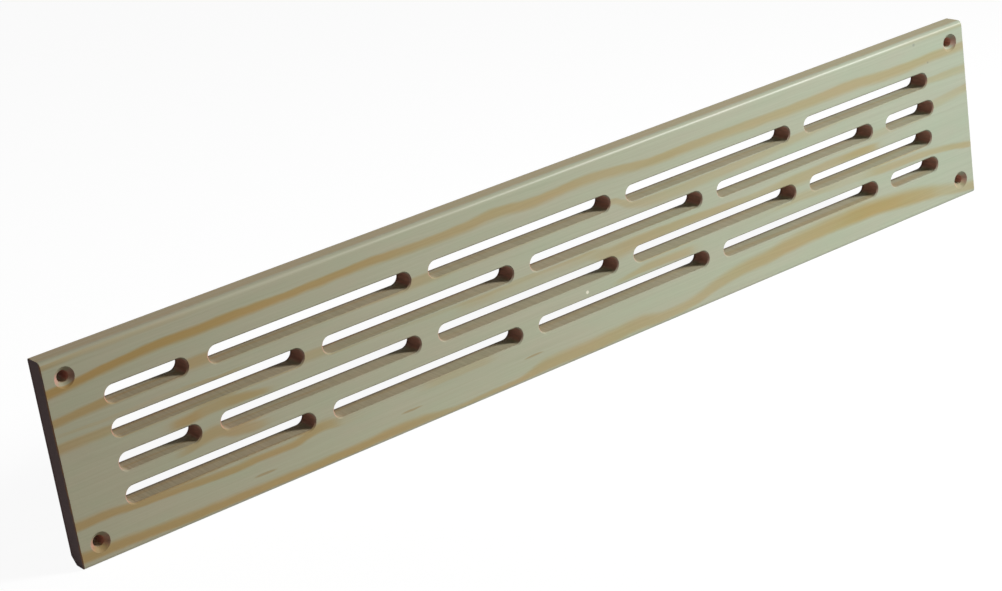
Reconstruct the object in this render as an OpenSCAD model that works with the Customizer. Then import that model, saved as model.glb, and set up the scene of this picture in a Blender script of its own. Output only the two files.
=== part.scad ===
// Transfer grille for a door: one planed softwood board with staggered rows of
// round-ended slots cut right through it and a countersunk screw hole at each corner.
// The board stands as it is fixed: X runs along it, Z is up and the front faces -Y.
// The origin is the centre of the back face, which lies against the door.

/* [Board] */
// Length of the board
board_l = 457; // [260:1:900]
// Height of the board
board_h = 80; // [72:1:160]
// Thickness of the board
board_t = 9.5; // [6:0.5:25]

/* [Long edges] */
// Radius of the rounded edge along the front at the top
front_top_r = 2; // [0.5:0.1:3]
// Radius of the rounded edge along the front at the bottom
front_bottom_r = 1.5; // [0.5:0.1:3]
// Radius of the eased edge along the back at the top
back_top_r = 1; // [0.2:0.1:2.5]
// Leg of the bevel along the back at the bottom
back_bevel = 3; // [0.5:0.1:3]

/* [Slots] */
// Width of a slot
slot_w = 7; // [4:0.1:9]
// Number of rows of slots
row_count = 4; // [2:1:4]
// Height from one row to the next
row_pitch = 13.1; // [11:0.1:14]
// Wood between the board's end and the first slot of each row
end_margin = 21.5; // [16:0.5:40]
// Distance between the bridges of wood along a row
bridge_pitch = 98.5; // [60:0.5:160]
// Wood left between two slots of a row
bridge_w = 8.8; // [4:0.1:20]
// Distance from the left end to the first bridge of the top row
first_bridge = 59.7; // [50:0.1:75]
// Shift of the bridges from one row to the next
stagger = 47.2; // [30:0.1:60]
// How much sooner the odd rows stop at the right
odd_row_short = 2.5; // [0:0.1:8]
// Leg of the eased arris round each slot on the front
slot_ease = 0.5; // [0.1:0.1:1]

/* [Screw holes] */
// Diameter of a screw hole
hole_d = 4.5; // [3:0.1:5.5]
// Diameter of a countersink where it meets the front
sink_d = 8; // [6.5:0.1:9]
// Full angle of a countersink
sink_angle = 90; // [75:1:120]
// Distance from a screw hole to the board's end
hole_inset_x = 8; // [7:0.5:12]
// Distance from a screw hole to the board's long edge
hole_inset_z = 8; // [7:0.5:12]

/* [Hidden] */
$fn = 96;
// How far the cutters reach past the faces that they cut
over = 1;
// The shortest slot that is worth cutting is this many slot widths long
shortest_slot = 2;

// One row's slots run between these two ends, and its bridges lie between them
function row_left() = end_margin;
function row_right(row) = board_l - end_margin - (row % 2 == 0 ? odd_row_short : 0);
function bridges(row) =
    let (first = first_bridge + (row % 2) * stagger,
         last = row_right(row) - bridge_w / 2 - shortest_slot * slot_w)
    [for (x = first; x <= last; x = x + bridge_pitch) x];
// The two ends of every slot in a row, measured from the board's left end
function slots(row) =
    let (b = bridges(row), n = len(b))
    [for (i = [0 : n])
        [i == 0 ? row_left() : b[i - 1] + bridge_w / 2,
         i == n ? row_right(row) : b[i] - bridge_w / 2]];
function row_z(row) = ((row_count - 1) / 2 - row) * row_pitch;

// What a rounding takes from a square corner at the origin
module round_corner_waste(r) {
    difference() {
        translate([-over, -over]) square(r + over);
        translate([r, r]) circle(r);
    }
}

// What a bevel takes from a square corner at the origin
module bevel_waste(leg) {
    polygon([[-over, -over], [leg + over, -over], [-over, leg + over]]);
}

// The board's section, with its front on the left and its back at x = 0
module section() {
    difference() {
        translate([-board_t, -board_h / 2]) square([board_t, board_h]);
        translate([-board_t, board_h / 2]) mirror([0, 1]) round_corner_waste(front_top_r);
        translate([-board_t, -board_h / 2]) round_corner_waste(front_bottom_r);
        translate([0, board_h / 2]) rotate(180) round_corner_waste(back_top_r);
        translate([0, -board_h / 2]) mirror([1, 0]) bevel_waste(back_bevel);
    }
}

module plain_board() {
    translate([-board_l / 2, 0, 0])
        rotate([90, 0, 90])
            linear_extrude(board_l) section();
}

// A slot between two ends along the row, cut through and eased on the front
module slot_waste(x0, x1) {
    r = slot_w / 2;
    span = x1 - x0 - slot_w;
    depth = board_t + 2 * over;
    flare = r + slot_ease + over;
    translate([x0 + r, 0, 0]) {
        for (x = [0, span]) {
            translate([x, over, 0]) rotate([90, 0, 0]) cylinder(h = depth, r = r);
            translate([x, -board_t + slot_ease, 0]) rotate([90, 0, 0])
                cylinder(h = slot_ease + over, r1 = r, r2 = flare);
        }
        translate([0, -board_t - over, -r]) cube([span, depth, slot_w]);
        translate([0, -board_t, 0]) rotate([90, 0, 90]) linear_extrude(span)
            polygon([[slot_ease, -r], [slot_ease, r], [-over, flare], [-over, -flare]]);
    }
}

// A screw hole through the board, with its countersink opening to the front
module screw_hole_waste() {
    slope = tan(sink_angle / 2);
    sink_depth = (sink_d - hole_d) / 2 / slope;
    translate([0, over, 0]) rotate([90, 0, 0]) cylinder(h = board_t + 2 * over, d = hole_d);
    translate([0, -board_t + sink_depth, 0]) rotate([90, 0, 0])
        cylinder(h = sink_depth + over, d1 = hole_d, d2 = sink_d + 2 * over * slope);
}

module slotted_board() {
    color([0.74, 0.71, 0.56]) difference() {
        plain_board();
        for (row = [0 : row_count - 1])
            for (s = slots(row))
                translate([-board_l / 2, 0, row_z(row)]) slot_waste(s[0], s[1]);
        for (side = [-1, 1])
            for (end = [-1, 1])
                translate([end * (board_l / 2 - hole_inset_x), 0,
                           side * (board_h / 2 - hole_inset_z)]) screw_hole_waste();
    }
}

slotted_board();
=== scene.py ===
"""Dresses a slotted softwood board and stands it on a plain pale studio floor.

The wood is one procedural material. It knows how far each point lies from the board's front and
follows its growth ring back to the front, so the stripes agree on the front, the ends, the walls
of the slots and the back. Lengths in the material are in mm, and all else is in metres.
"""
import math
from collections import namedtuple

import bpy
from mathutils import Matrix, Vector


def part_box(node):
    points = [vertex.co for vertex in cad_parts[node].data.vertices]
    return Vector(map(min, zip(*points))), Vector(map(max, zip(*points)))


BOARD = "slotted_board"
MM_PER_M = 1000

# Where the photograph was taken from, in metres and degrees
CAMERA_PLACE = (-0.5444, -0.7650, 0.3373)
LOOK_RIGHT = 34.00
LOOK_DOWN = 20.35
CAMERA_ROLL = -8.61
LENS_MM = 89.44
SENSOR_MM = 36

# One far lamp: where it is, what it points at, its diameter, its power and the width of its beam
LAMP_PLACE = (0.927, -0.835, 0.636)
LAMP_AIM = (0.04, 0, 0)
LAMP_SIZE = 0.35
LAMP_WATTS = 2.85
LAMP_BEAM = 64
AMBIENT = 0.05

FLOOR_HALF = 4.0
FLOOR_COLOUR = (0.55, 0.55, 0.53, 1)
FLOOR_GLOW = 0.94
FLOOR_SHADE = 0.12

# The growth rings run round a line this far in front of the board, at mid height
PITH_AHEAD = 55.0
PITH_HEIGHT = 40.0

PALE_LEFT = (0.450, 0.428, 0.297)
PALE_RIGHT = (0.415, 0.457, 0.346)
TAN_TINT = (0.94, 0.66, 0.36)
WALL_TINT = (0.97, 0.85, 0.78)
END_COLOUR = (0.28, 0.20, 0.20)
INNER_END_COLOUR = (0.58, 0.27, 0.22)
STREAK_AND_HIGHLIGHT_COLOUR = (0.62, 0.32, 0.17)
BACK_SHADE_TINT = (0.45, 0.34, 0.28)
TOP_BACK_SHADE_TINT = (0.72, 0.72, 0.72)
ARRIS_TINT = (0.88, 0.86, 0.84)
FLECK_TINT = (0.86, 0.72, 0.60)

SPECULAR = 0.2
PLANED_ROUGH = 0.34
WALL_ROUGH = 0.7
SAWN_ROUGH = 0.9
# How far the fibres and the cutter marks stand out
PLANED_RELIEF = 0.02
MARK_RELIEF = 0.10
# Cut faces count as inner ones this far in from the ends and from the long edges
INNER_FROM_END = 2.5
INNER_FROM_EDGE = 3.0
# Widths of the fade from outside to inside, and of the painted shade along the back
INNER_FADE = 0.5
BACK_SHADE_WIDTH = 1.6
# How deep the skin patches and the streaks on the ends reach; the streaks are partly grain and partly a
# painted highlight along the ends' front edge
SKIN_DEPTH = 1.2
STREAK_AND_HIGHLIGHT_DEPTH = 1.8

# A stripe of late wood on the front. Each list holds pairs: the distance from the left end, and
# there the height of the stripe's middle above the lower edge, its half width or its strength.
Stripe = namedtuple("Stripe", "path half_width strength")

RING_STRIPES = [
    Stripe([(0, 78.1), (20, 78.8), (457, 78.6)], [(0, 1.0), (457, 1.0)],
           [(0, 0.55), (20, 0.35), (50, 0.2), (90, 0), (390, 0), (430, 0.2), (457, 0.3)]),
    Stripe([(0, 68.3), (20, 69.8), (40, 71), (60, 71.4), (80, 71.5), (120, 71.9), (135, 72.3),
            (160, 71.5), (180, 71.8), (197, 72.8), (215, 71.5), (240, 72.5), (260, 71.3),
            (280, 69.8), (300, 70), (345, 69.4), (390, 70), (410, 68.8), (440, 69.1), (457, 69)],
           [(0, 1.7), (20, 1.5), (60, 1.7), (110, 1.3), (197, 1.8), (280, 1.7), (380, 2), (457, 1.8)],
           [(0, 1), (40, 1), (110, 0.9), (135, 0.85), (165, 0.7), (230, 0.68), (250, 0.6), (285, 0.68),
            (300, 0.6), (440, 0.65), (457, 0.5)]),
    Stripe([(0, 57.2), (20, 58.2), (60, 60), (110, 58), (158, 58), (230, 58), (252, 59.5), (262, 56),
            (278, 54), (320, 55), (345, 56), (400, 58), (440, 58.8), (457, 58.8)],
           [(0, 1.4), (60, 2), (110, 1), (158, 2), (240, 1), (280, 2), (345, 1.8), (400, 1), (457, 1.6)],
           [(0, 0.8), (20, 0.8), (30, 0.4), (58, 0.65), (75, 0.3), (110, 0.25), (158, 0.5), (185, 0.2),
            (240, 0.2), (256, 0.45), (280, 0.4), (345, 0.4), (400, 0.2), (440, 0.45), (457, 0.4)]),
    Stripe([(0, 47.3), (25, 47.6), (107, 45.8), (205, 42.2), (300, 45), (400, 44.5), (435, 47.5),
            (457, 49.5)],
           [(0, 1.6), (110, 1.8), (205, 1), (457, 1.8)],
           [(0, 0.65), (22, 0.55), (60, 0.2), (107, 0.45), (140, 0.2), (205, 0.3), (300, 0), (400, 0.25),
            (430, 0.3), (457, 0.45)]),
    Stripe([(0, 51.8), (55, 51.7), (70, 51), (457, 52)], [(0, 0.6), (457, 0.6)],
           [(0, 0.1), (10, 0.25), (40, 0.15), (55, 0.35), (67, 0.4), (84, 0), (457, 0)]),
    Stripe([(0, 16.8), (12, 16.8), (30, 15.3), (45, 15), (62, 14.2), (90, 14), (105, 16.4),
            (115, 15.5), (165, 15.6), (457, 15)],
           [(0, 1.6), (20, 1.4), (35, 1.2), (90, 1.2), (105, 1.8), (170, 1.6), (457, 1.6)],
           [(0, 0.8), (90, 0.8), (108, 0.65), (118, 0.1), (145, 0), (160, 0.32), (180, 0.3), (192, 0),
            (457, 0)]),
    Stripe([(0, 4.3), (20, 3.8), (50, 2.8), (90, 2.4), (120, 2.3), (135, 2.8), (150, 2.6), (168, 1.6),
            (195, 1.9), (210, 3.5), (240, 3.6), (260, 4.2), (272, 3), (288, 3.8), (300, 6.5),
            (312, 8.5), (330, 9.5), (345, 11), (370, 11.7), (390, 11.6), (410, 10), (430, 7.6),
            (445, 5), (457, 3)],
           [(0, 2), (50, 1.5), (120, 1.4), (140, 1.8), (168, 0.8), (195, 0.9), (210, 2), (260, 2.4),
            (275, 1.7), (300, 2.2), (345, 2.8), (380, 3.2), (415, 3.1), (440, 2.3), (457, 1.8)],
           [(0, 0.85), (100, 0.85), (150, 0.7), (168, 0.55), (205, 0.65), (260, 0.62), (280, 0.55),
            (330, 0.7), (370, 0.8), (395, 0.95), (415, 0.85), (430, 0.72), (444, 0.5), (457, 0.6)]),
    Stripe([(0, 28), (45, 28), (60, 30.5), (70, 28), (86, 26.8), (110, 27), (250, 25.5), (270, 26.5),
            (297, 26.2), (345, 30), (375, 28.5), (398, 27.6), (420, 26.8), (440, 25.3), (457, 22.6)],
           [(0, 1), (45, 1), (60, 2.2), (75, 1.8), (90, 1), (250, 0.8), (275, 1.6), (350, 1.8),
            (380, 1.2), (400, 1.5), (457, 1.3)],
           [(0, 0), (38, 0), (45, 0.25), (60, 0.65), (80, 0.45), (92, 0), (242, 0), (252, 0.3),
            (270, 0.55), (288, 0.5), (301, 0), (335, 0.1), (350, 0.4), (385, 0.2), (402, 0.55),
            (435, 0.55), (450, 0.65), (457, 0.55)]),
]

# Where the front face only grazes a ring, it shows as a patch no deeper than the skin
SKIN_STRIPES = [
    Stripe([(0, 39.5), (50, 39.4), (62, 40.6), (75, 39.8), (90, 39), (457, 39)],
           [(0, 1.2), (50, 1.6), (62, 2.2), (75, 1.6), (90, 1), (457, 1)],
           [(0, 0), (36, 0), (45, 0.5), (52, 0.8), (60, 0.6), (75, 0.75), (85, 0.4), (94, 0), (457, 0)]),
    Stripe([(0, 41), (180, 41), (235, 41.3), (252, 38.6), (265, 39.5), (330, 38.7), (355, 38.3),
            (370, 39.3), (390, 39.4), (457, 39)],
           [(0, 1.2), (180, 1.4), (235, 1.6), (255, 2.6), (270, 2), (330, 1.5), (355, 2.4), (370, 1.8),
            (390, 1.7), (457, 1.5)],
           [(0, 0), (168, 0), (180, 0.25), (205, 0.1), (232, 0.25), (252, 0.5), (270, 0.6), (310, 0.55),
            (332, 0.4), (352, 0.55), (370, 0.5), (390, 0.75), (400, 0.35), (408, 0), (457, 0)]),
]

# Rings that only the ends, the back and the slots' walls show, by height above the lower edge
HIDDEN_RINGS = [84.5, 88.0, 91.5, -4.5, -8.0, -11.5]
HIDDEN_HALF = 1.6
HIDDEN_STRENGTH = 0.7

# The heights that a stripe's path may take, and the greatest half width
LOWEST_PATH = -20
HIGHEST_PATH = 100
WIDEST_HALF = 10

# Brown flecks along the grain: distance from the left end, height, half length, half height
FLECKS = [(78, 7.8, 5, 0.5), (145, 8.5, 5, 0.5), (205, 9.8, 5, 0.45)]
# Small dots: distance from the left end, height, radius and tint
DOTS = [(235.3, 26.5, 0.7, (1.8, 1.7, 1.9)), (427, 77, 0.7, (0.8, 0.8, 0.85)),
        (434.6, 67, 0.5, (0.8, 0.8, 0.85))]


class Field:
    """A number that varies over a surface: a shader node's output, with plain arithmetic."""

    def __init__(self, graph, socket):
        self.graph = graph
        self.socket = socket

    def __add__(self, other):
        return self.graph.math("ADD", self, other)

    def __radd__(self, other):
        return self.graph.math("ADD", other, self)

    def __sub__(self, other):
        return self.graph.math("SUBTRACT", self, other)

    def __rsub__(self, other):
        return self.graph.math("SUBTRACT", other, self)

    def __mul__(self, other):
        return self.graph.math("MULTIPLY", self, other)

    def __rmul__(self, other):
        return self.graph.math("MULTIPLY", other, self)

    def __truediv__(self, other):
        return self.graph.math("DIVIDE", self, other)

    def __abs__(self):
        return self.graph.math("ABSOLUTE", self)


class Graph:
    """Adds nodes to one node tree. Each call gives back the new node's output as a field."""

    def __init__(self, tree):
        self.tree = tree
        tree.nodes.clear()

    def node(self, kind, **settings):
        node = self.tree.nodes.new(kind)
        for key, value in settings.items():
            setattr(node, key, value)
        return node

    def feed(self, socket, value):
        """Links a field to a socket, or sets the socket to a plain value."""
        if isinstance(value, Field):
            self.tree.links.new(value.socket, socket)
        else:
            socket.default_value = value

    def math(self, operation, *values):
        node = self.node("ShaderNodeMath", operation=operation)
        for socket, value in zip(node.inputs, values):
            self.feed(socket, value)
        return Field(self, node.outputs[0])

    def split(self, socket):
        """The three parts of a vector."""
        node = self.node("ShaderNodeSeparateXYZ")
        self.tree.links.new(socket, node.inputs[0])
        return [Field(self, out) for out in node.outputs]

    def vector(self, x, y, z):
        node = self.node("ShaderNodeCombineXYZ")
        for socket, value in zip(node.inputs, (x, y, z)):
            self.feed(socket, value)
        return Field(self, node.outputs[0])

    def noise(self, x, y, z, detail=2.0, roughness=0.5):
        """Smooth noise from 0 to 1, whose grain is about one unit of each coordinate."""
        node = self.node("ShaderNodeTexNoise")
        self.feed(node.inputs["Vector"], self.vector(x, y, z))
        node.inputs["Scale"].default_value = 1.0
        node.inputs["Detail"].default_value = detail
        node.inputs["Roughness"].default_value = roughness
        return Field(self, node.outputs[0])

    def step(self, value, low, high):
        """Rises smoothly from 0 where the value is low to 1 where it is high."""
        node = self.node("ShaderNodeMapRange", interpolation_type="SMOOTHSTEP")
        self.feed(node.inputs["Value"], value)
        self.feed(node.inputs["From Min"], low)
        self.feed(node.inputs["From Max"], high)
        return Field(self, node.outputs[0])

    def line(self, position, points, span, low, high):
        """A smooth line through points whose places run to span and whose values lie between
        low and high."""
        node = self.node("ShaderNodeFloatCurve")
        curve = node.mapping.curves[0]
        spots = [(place / span, (value - low) / (high - low)) for place, value in points]
        curve.points[0].location = spots[0]
        curve.points[1].location = spots[-1]
        for spot in spots[1:-1]:
            curve.points.new(*spot)
        for point in curve.points:
            point.handle_type = "AUTO_CLAMPED"
        node.mapping.update()
        self.feed(node.inputs["Value"], position / span)
        return Field(self, node.outputs[0]) * (high - low) + low

    def mix(self, amount, first, second, blend="MIX"):
        """Mixes two colours, each a field or three numbers."""
        node = self.node("ShaderNodeMix", data_type="RGBA", blend_type=blend)
        self.feed(node.inputs["Factor"], amount)
        for socket, value in ((node.inputs[6], first), (node.inputs[7], second)):
            self.feed(socket, value if isinstance(value, Field) else (*value, 1))
        return Field(self, node.outputs[2])

    def tint(self, amount, base, multiplier):
        """Multiplies a colour by another, as much as amount says."""
        return self.mix(amount, base, multiplier, blend="MULTIPLY")

    def shader(self, kind, **inputs):
        node = self.node(kind)
        for name, value in inputs.items():
            self.feed(node.inputs[name.replace("_", " ")], value)
        return node.outputs[0]

    def finish(self, shader, kind="ShaderNodeOutputMaterial"):
        node = self.node(kind)
        self.tree.links.new(shader, node.inputs["Surface"])


def new_material(name):
    material = bpy.data.materials.new(name)
    material.use_nodes = True
    return material, Graph(material.node_tree)


def stripe_strength(g, stripe, along, height, length):
    """How strongly one stripe colours the wood whose ring meets the front at this height."""
    middle = g.line(along, stripe.path, length, LOWEST_PATH, HIGHEST_PATH)
    half = g.line(along, stripe.half_width, length, 0, WIDEST_HALF)
    strength = g.line(along, stripe.strength, length, 0, 1)
    off = height - middle
    outward = off if stripe.path[0][1] > PITH_HEIGHT else off * -1
    # Late wood ends sharply on the side away from the pith and fades towards it
    outer = 1 - g.step(outward, half * 0.5, half * 1.4)
    inner = 1 - g.step(outward * -1, half * 0.5, half * 2.0)
    return strength * outer * inner


def wood_material(length, thickness, height):
    """Pale bare softwood with tan rings, for a board of this size in mm."""
    material, g = new_material("softwood")
    coords = g.node("ShaderNodeTexCoord")
    x, y, z = [part * MM_PER_M for part in g.split(coords.outputs["Object"])]
    nx, ny, nz = g.split(coords.outputs["Normal"])
    along = x + length / 2
    depth = y + thickness
    up = z + height / 2

    # The height at which the ring through this point meets the front face
    off_pith = up - PITH_HEIGHT
    ring = g.math("SQRT", off_pith * off_pith + depth * depth + depth * (2 * PITH_AHEAD))
    wander = (g.noise(along / 28, up / 9, depth / 9) - 0.5) * 1.6
    fray = (g.noise(along / 7, up / 1.2, depth / 1.2) - 0.5) * 0.7
    upper = PITH_HEIGHT + ring + wander + fray
    lower = PITH_HEIGHT - ring + wander + fray
    is_upper = g.step(off_pith, -4.0, 4.0)

    sides = {True: None, False: None}
    stripes = list(RING_STRIPES)
    for ring_height in HIDDEN_RINGS:
        stripes.append(Stripe([(0, ring_height), (length, ring_height)],
                              [(0, HIDDEN_HALF), (length, HIDDEN_HALF)],
                              [(0, HIDDEN_STRENGTH), (length, HIDDEN_STRENGTH)]))
    for stripe in stripes:
        above = stripe.path[0][1] > PITH_HEIGHT
        strength = stripe_strength(g, stripe, along, upper if above else lower, length)
        sides[above] = strength if sides[above] is None else sides[above] + strength
    skin = None
    for stripe in SKIN_STRIPES:
        strength = stripe_strength(g, stripe, along, up + wander + fray, length)
        skin = strength if skin is None else skin + strength
    skin = skin * (1 - g.step(depth, 0.2, SKIN_DEPTH))
    late = sides[True] * is_upper + sides[False] * (1 - is_upper) + skin
    late = g.math("MINIMUM", late, 1.0)

    # Cut faces: the walls of the slots and holes, and end grain wherever a face looks along X
    side = length / 2 - INNER_FROM_END
    rim = height / 2 - INNER_FROM_EDGE
    within = (1 - g.step(abs(x), side - INNER_FADE, side)) * (1 - g.step(abs(z), rim - INNER_FADE, rim))
    facing = abs(ny)
    wall = (1 - g.step(facing, 0.3, 0.6)) * within
    arris = g.step(facing, 0.4, 0.6) * (1 - g.step(facing, 0.85, 0.98)) * within
    end_grain = g.step(abs(nx), 0.35, 0.85) * (1 - g.step(facing, 0.74, 0.9))
    outer_end = end_grain * (1 - within)

    colour = g.mix(along / length, PALE_LEFT, PALE_RIGHT)
    fibres = g.noise(along / 60, (upper * is_upper + lower * (1 - is_upper)) * 1.3, depth / 3, detail=4)
    blotches = g.noise(along / 30, up / 8, depth / 8, detail=2)
    colour = g.tint(1.0, colour, g.mix(fibres, (0.90, 0.90, 0.88), (1.10, 1.10, 1.12)))
    colour = g.tint(1.0, colour, g.mix(blotches, (1.06, 0.97, 1.00), (0.94, 1.03, 1.00)))
    colour = g.tint(late * (1 - wall * 0.6), colour, TAN_TINT)
    colour = g.tint(wall, colour, WALL_TINT)
    ripple = g.noise(along / 3, up / 1.1, depth / 5, detail=3)
    inner_end = g.tint(1.0, INNER_END_COLOUR, g.mix(ripple, (0.6, 0.6, 0.6), (1.4, 1.4, 1.4)))
    colour = g.mix(end_grain * 0.85, colour, inner_end)
    # Brighter streaks near the front edge of the ends: partly orange grain, partly a painted highlight
    # where that edge catches the light
    streaks_and_edge_highlight = (1 - g.step(depth, 0.6, STREAK_AND_HIGHLIGHT_DEPTH)) * g.step(g.noise(along, up / 5, depth / 2), 0.3, 0.6)
    sawn = g.mix(streaks_and_edge_highlight, END_COLOUR, STREAK_AND_HIGHLIGHT_COLOUR)
    # Painted shade: the ends grow darker towards the back
    sawn = g.tint(g.step(depth, thickness - 2.5, thickness) * 0.7, sawn, BACK_SHADE_TINT)
    colour = g.mix(outer_end, colour, sawn)
    colour = g.tint(arris * (1 - end_grain), colour, ARRIS_TINT)
    # Painted shade: the top face and its back arris grow darker near the back edge
    painted_top_back_shade = g.step(nz, 0.3, 0.7) * (1 - within)
    painted_top_back_shade = painted_top_back_shade * g.step(depth, thickness - BACK_SHADE_WIDTH, thickness - 0.6)
    colour = g.tint(painted_top_back_shade, colour, TOP_BACK_SHADE_TINT)
    # Painted shade: the walls of the slots and holes grow darker along the back edge
    painted_wall_back_shade = g.step(depth, thickness - BACK_SHADE_WIDTH, thickness - 0.1) * wall
    colour = g.tint(painted_wall_back_shade, colour, BACK_SHADE_TINT)

    front = 1 - g.step(depth, 0.02, 0.2)
    for place, level, half_length, half_height in FLECKS:
        far = g.math("POWER", abs(along - place) / half_length, 2.0) + \
            g.math("POWER", abs(up - level + fray) / half_height, 2.0)
        colour = g.tint((1 - g.step(far, 0.3, 1.4)) * front, colour, FLECK_TINT)
    for place, level, radius, dot_tint in DOTS:
        far = g.math("POWER", abs(along - place), 2.0) + g.math("POWER", abs(up - level), 2.0)
        colour = g.tint((1 - g.step(far, radius * radius * 0.5, radius * radius * 1.5)) * front,
                        colour, dot_tint)

    # Fibres along the planed faces, and cutter marks across the walls
    planed = g.noise(along / 22, up / 0.5, depth / 0.5, detail=3)
    marks = g.noise(along / 0.9, up / 0.9, depth / 14, detail=2)
    colour = g.tint(wall, colour, g.mix(marks, (0.82, 0.82, 0.82), (1.18, 1.18, 1.18)))
    relief = planed * PLANED_RELIEF * (1 - wall) + marks * MARK_RELIEF * wall
    bump = g.node("ShaderNodeBump")
    bump.inputs["Strength"].default_value = 1.0
    bump.inputs["Distance"].default_value = 1 / MM_PER_M
    g.feed(bump.inputs["Height"], relief)

    cut_rough = g.math("MAXIMUM", end_grain * SAWN_ROUGH, wall * WALL_ROUGH)
    rough = g.math("MAXIMUM", PLANED_ROUGH + late * 0.06 + planed * 0.04, cut_rough)
    surface = g.node("ShaderNodeBsdfPrincipled")
    g.feed(surface.inputs["Base Color"], colour)
    g.feed(surface.inputs["Roughness"], rough)
    surface.inputs["Specular IOR Level"].default_value = SPECULAR
    g.tree.links.new(bump.outputs[0], surface.inputs["Normal"])
    g.finish(surface.outputs[0])
    return material


def white_to_the_eye(g):
    """1 for rays that show the background: from the camera, a mirror or through glass."""
    path = g.node("ShaderNodeLightPath")
    rays = [Field(g, path.outputs[name]) for name in
            ("Is Camera Ray", "Is Glossy Ray", "Is Transmission Ray")]
    return g.math("MAXIMUM", rays[0], g.math("MAXIMUM", rays[1], rays[2]))


def floor_material():
    """Pale matt floor that shows as white to the camera, with a faint shadow."""
    material, g = new_material("floor")
    matt = g.shader("ShaderNodeBsdfDiffuse", Color=FLOOR_COLOUR)
    shaded = g.shader("ShaderNodeBsdfDiffuse", Color=(FLOOR_SHADE, FLOOR_SHADE, FLOOR_SHADE, 1))
    glow = g.shader("ShaderNodeEmission", Color=(1, 1, 1, 1), Strength=FLOOR_GLOW)
    seen = g.node("ShaderNodeAddShader")
    g.tree.links.new(shaded, seen.inputs[0])
    g.tree.links.new(glow, seen.inputs[1])
    choice = g.node("ShaderNodeMixShader")
    g.feed(choice.inputs[0], white_to_the_eye(g))
    g.tree.links.new(matt, choice.inputs[1])
    g.tree.links.new(seen.outputs[0], choice.inputs[2])
    g.finish(choice.outputs[0])
    return material


def add_floor(level):
    corners = [(-1, -1), (1, -1), (1, 1), (-1, 1)]
    mesh = bpy.data.meshes.new("floor")
    mesh.from_pydata([(a * FLOOR_HALF, b * FLOOR_HALF, level) for a, b in corners], [], [(0, 1, 2, 3)])
    floor = bpy.data.objects.new("floor", mesh)
    bpy.context.scene.collection.objects.link(floor)
    mesh.materials.append(floor_material())


def set_world():
    """A white background to the camera and a low even light on the object."""
    world = bpy.data.worlds.new("studio")
    world.use_nodes = True
    bpy.context.scene.world = world
    g = Graph(world.node_tree)
    level = g.math("MAXIMUM", white_to_the_eye(g), AMBIENT)
    g.finish(g.shader("ShaderNodeBackground", Color=(1, 1, 1, 1), Strength=level), "ShaderNodeOutputWorld")


def add_lamp():
    """A round soft lamp, far away to the right and above, whose beam fades outwards."""
    lamp = bpy.data.lights.new("lamp", "AREA")
    lamp.shape = "DISK"
    lamp.size = LAMP_SIZE
    lamp.energy = LAMP_WATTS
    lamp.spread = math.radians(LAMP_BEAM)
    thing = bpy.data.objects.new("lamp", lamp)
    thing.location = LAMP_PLACE
    thing.rotation_euler = (Vector(LAMP_AIM) - Vector(LAMP_PLACE)).to_track_quat("-Z", "Y").to_euler()
    bpy.context.scene.collection.objects.link(thing)


def add_camera():
    right_turn = math.radians(LOOK_RIGHT)
    drop = math.radians(LOOK_DOWN)
    roll = math.radians(CAMERA_ROLL)
    look = Vector((math.sin(right_turn) * math.cos(drop), math.cos(right_turn) * math.cos(drop),
                   -math.sin(drop)))
    level_right = look.cross(Vector((0, 0, 1))).normalized()
    level_up = level_right.cross(look)
    right = level_right * math.cos(roll) + level_up * math.sin(roll)
    up = right.cross(look)
    turn = Matrix((right, up, -look)).transposed().to_4x4()
    data = bpy.data.cameras.new("camera")
    data.sensor_width = SENSOR_MM
    data.lens = LENS_MM
    camera = bpy.data.objects.new("camera", data)
    camera.matrix_world = Matrix.Translation(CAMERA_PLACE) @ turn
    bpy.context.scene.collection.objects.link(camera)
    bpy.context.scene.camera = camera


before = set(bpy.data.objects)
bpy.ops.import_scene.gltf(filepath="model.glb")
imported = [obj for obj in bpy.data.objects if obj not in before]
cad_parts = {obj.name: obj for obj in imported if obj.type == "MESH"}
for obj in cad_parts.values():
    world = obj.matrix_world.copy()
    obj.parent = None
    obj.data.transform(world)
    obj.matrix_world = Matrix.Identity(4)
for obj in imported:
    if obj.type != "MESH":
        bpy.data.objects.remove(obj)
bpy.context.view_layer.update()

bpy.context.scene.view_settings.view_transform = "Standard"
add_camera()
set_world()
add_lamp()

low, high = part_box(BOARD)
size = (high - low) * MM_PER_M
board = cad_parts[BOARD]
board.data.materials.clear()
board.data.materials.append(wood_material(size.x, size.y, size.z))
add_floor(low.z)
